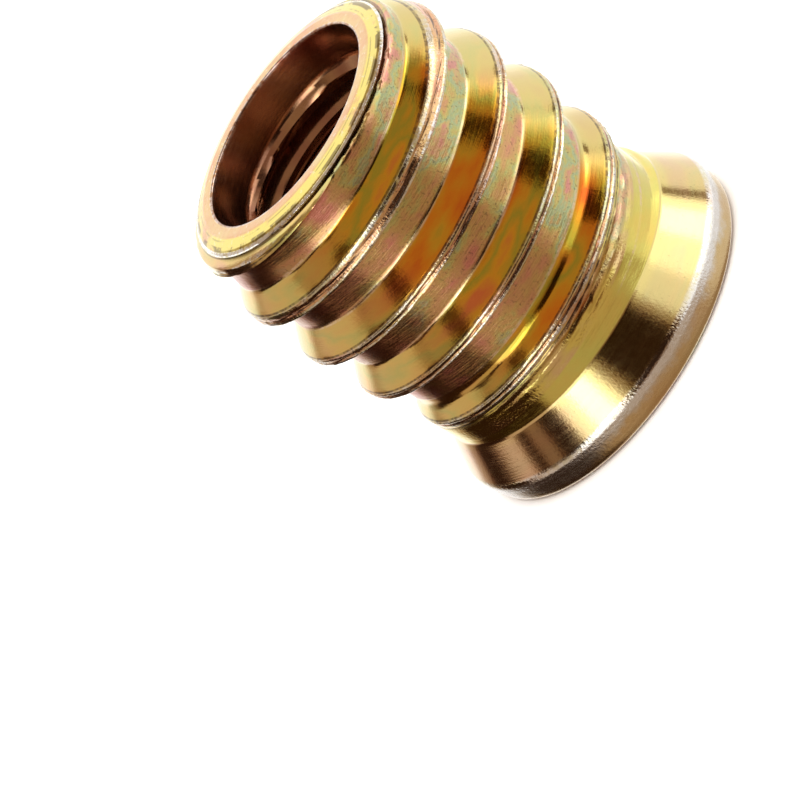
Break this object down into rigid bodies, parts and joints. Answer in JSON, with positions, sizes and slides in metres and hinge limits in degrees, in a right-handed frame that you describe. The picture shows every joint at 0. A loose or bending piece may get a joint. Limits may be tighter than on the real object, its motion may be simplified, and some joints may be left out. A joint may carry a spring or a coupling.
{
  "type": "threaded insert",
  "caption": "Screw-in threaded insert for wood: coarse outer wood thread, threaded bore and a flared head with a hex key socket.",
  "frame": {"origin": "centre of the head's face", "axes": "+Z along the insert's axis, from the head's face to the tip that enters the wood first. +X at the start of the outer thread's first full crest line"},
  "size_m": [0.0134, 0.0134, 0.0146],
  "materials": {
    "zinc": "glossy yellow passivated zinc plating with iridescent patches, worn to bright silver on the thread crests and the head's rim"
  },
  "bodies": {
    "root": {"threaded_insert": "zinc"}
  },
  "joints": []
}
